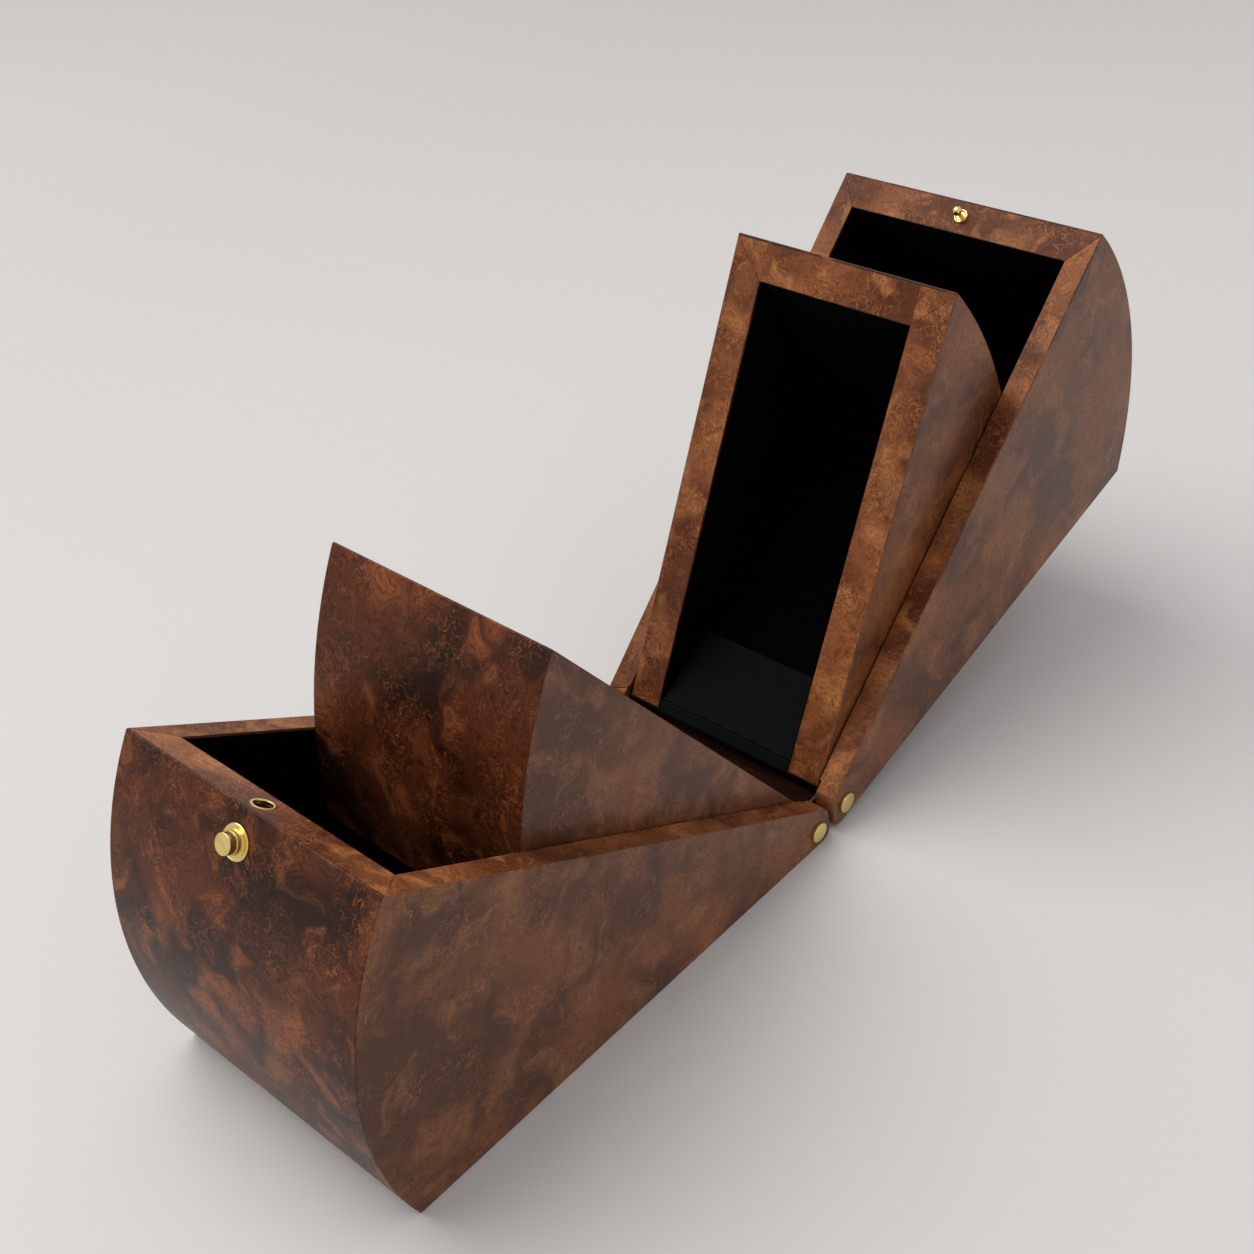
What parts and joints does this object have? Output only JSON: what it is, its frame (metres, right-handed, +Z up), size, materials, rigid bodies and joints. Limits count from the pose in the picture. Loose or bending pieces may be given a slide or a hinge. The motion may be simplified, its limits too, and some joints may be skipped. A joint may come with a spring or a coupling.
{
  "type": "wooden wine box",
  "caption": "Folding wooden wine box: two wedge shells on link hinges, a swing-out padded inner box in each, and a push-button catch.",
  "frame": {"origin": "on the floor, under the middle of the open box's length and width", "axes": "+X from the left shell, which lies on its back, to the raised right shell; +Y across the width, away from the near side; +Z up"},
  "size_m": [0.8406, 0.2256, 0.3593],
  "materials": {
    "shell_veneer": "satin lacquered burl veneer",
    "inner_veneer": "satin lacquered burl veneer",
    "black_velvet": "black flock on board",
    "polished_brass": "polished",
    "steel": "satin"
  },
  "bodies": {
    "left_shell": {"button_escutcheon": "polished_brass", "latch_ferrule": "polished_brass", "latch_housing": "steel", "latch_spring": "steel", "left_far_pivot_clip": "steel", "left_far_pivot_pin": "polished_brass", "left_near_pivot_clip": "steel", "left_near_pivot_pin": "polished_brass", "left_shell_back": "shell_veneer", "left_shell_back_lining": "black_velvet", "left_shell_far_lining": "black_velvet", "left_shell_far_side": "shell_veneer", "left_shell_front": "shell_veneer", "left_shell_front_lining": "black_velvet", "left_shell_hinge_end": "shell_veneer", "left_shell_near_lining": "black_velvet", "left_shell_near_side": "shell_veneer"},
    "right_shell": {"catch_collar": "polished_brass", "catch_pin": "polished_brass", "right_far_pivot_clip": "steel", "right_far_pivot_pin": "polished_brass", "right_near_pivot_clip": "steel", "right_near_pivot_pin": "polished_brass", "right_shell_back": "shell_veneer", "right_shell_back_lining": "black_velvet", "right_shell_far_lining": "black_velvet", "right_shell_far_side": "shell_veneer", "right_shell_front": "shell_veneer", "right_shell_front_lining": "black_velvet", "right_shell_hinge_end": "shell_veneer", "right_shell_near_lining": "black_velvet", "right_shell_near_side": "shell_veneer"},
    "hinge_links": {"far_link_plate": "steel", "near_link_plate": "steel"},
    "latch_button": {"latch_slide": "steel", "push_button": "polished_brass"},
    "left_inner_box": {"left_far_hinge_leaf": "steel", "left_inner_back": "inner_veneer", "left_inner_back_lining": "black_velvet", "left_inner_far_lining": "black_velvet", "left_inner_far_side": "inner_veneer", "left_inner_floor_pad": "black_velvet", "left_inner_front": "inner_veneer", "left_inner_front_lining": "black_velvet", "left_inner_hinge_end": "inner_veneer", "left_inner_near_lining": "black_velvet", "left_inner_near_side": "inner_veneer", "left_near_hinge_leaf": "steel"},
    "right_inner_box": {"right_far_hinge_leaf": "steel", "right_inner_back": "inner_veneer", "right_inner_back_lining": "black_velvet", "right_inner_far_lining": "black_velvet", "right_inner_far_side": "inner_veneer", "right_inner_floor_pad": "black_velvet", "right_inner_front": "inner_veneer", "right_inner_front_lining": "black_velvet", "right_inner_hinge_end": "inner_veneer", "right_inner_near_lining": "black_velvet", "right_inner_near_side": "inner_veneer", "right_near_hinge_leaf": "steel"}
  },
  "joints": [
    {"name": "link_turn", "type": "hinge", "parent": "left_shell", "child": "hinge_links", "pos_m": [-0.00137, 0, 0.01541], "axis": [0, -1, 0], "range_deg": [0, 52.3]},
    {"name": "right_shell_turn", "type": "hinge", "parent": "hinge_links", "child": "right_shell", "pos_m": [0.0327, 0, 0.0202], "axis": [0, -1, 0], "range_deg": [0, 52.3]},
    {"name": "left_inner_turn", "type": "hinge", "parent": "left_shell", "child": "left_inner_box", "pos_m": [-0.00137, 0, 0.01541], "axis": [0, -1, 0], "range_deg": [0, 20.8]},
    {"name": "right_inner_turn", "type": "hinge", "parent": "right_shell", "child": "right_inner_box", "pos_m": [0.0327, 0, 0.0202], "axis": [0, 1, 0], "range_deg": [0, 20.8]},
    {"name": "button_press", "type": "slide", "parent": "left_shell", "child": "latch_button", "axis": [0.8743, 0, -0.4854], "range_m": [0, 0.002], "stiffness_N_per_m": 600, "springref_m": -0.004, "deforming": ["latch_spring"]}
  ],
  "couplings": [
    {"joint": "right_shell_turn", "follows": "link_turn", "ratio": 1},
    {"joint": "left_inner_turn", "follows": "link_turn", "ratio": 0.3977},
    {"joint": "right_inner_turn", "follows": "link_turn", "ratio": 0.3977}
  ]
}
